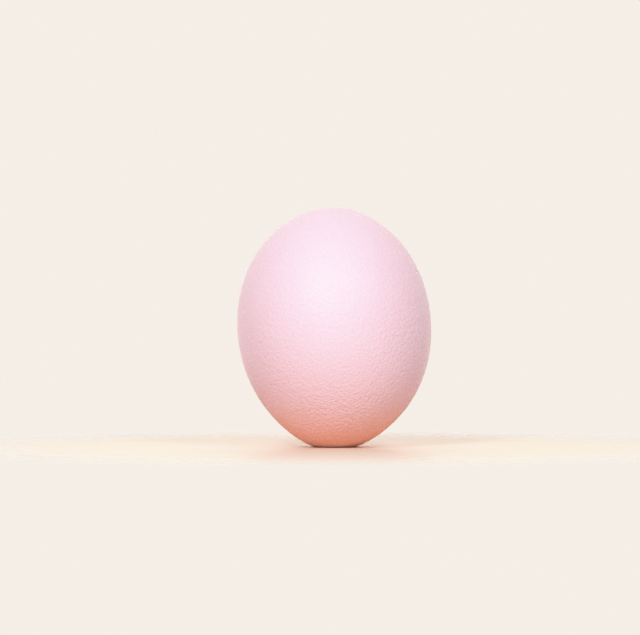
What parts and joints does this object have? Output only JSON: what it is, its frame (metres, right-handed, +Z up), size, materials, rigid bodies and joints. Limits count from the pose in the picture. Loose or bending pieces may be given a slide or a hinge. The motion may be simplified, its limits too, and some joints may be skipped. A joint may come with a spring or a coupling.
{
  "type": "ostrich egg",
  "caption": "Ostrich egg that stands upright on a small flat spot at its narrower end, with a finely pebbled satin pink shell.",
  "frame": {"origin": "at the foot: in the plane of the flat spot that the egg stands on, under the middle of the egg's bounding box", "axes": "+Z up along the egg's length, from the narrower end to the blunter one; -Y is the side that faces the viewer, and +X is to that viewer's right"},
  "size_m": [0.128, 0.1279, 0.158],
  "materials": {
    "shell": "satin pink, finely pebbled"
  },
  "bodies": {
    "root": {"egg": "shell"}
  },
  "joints": []
}
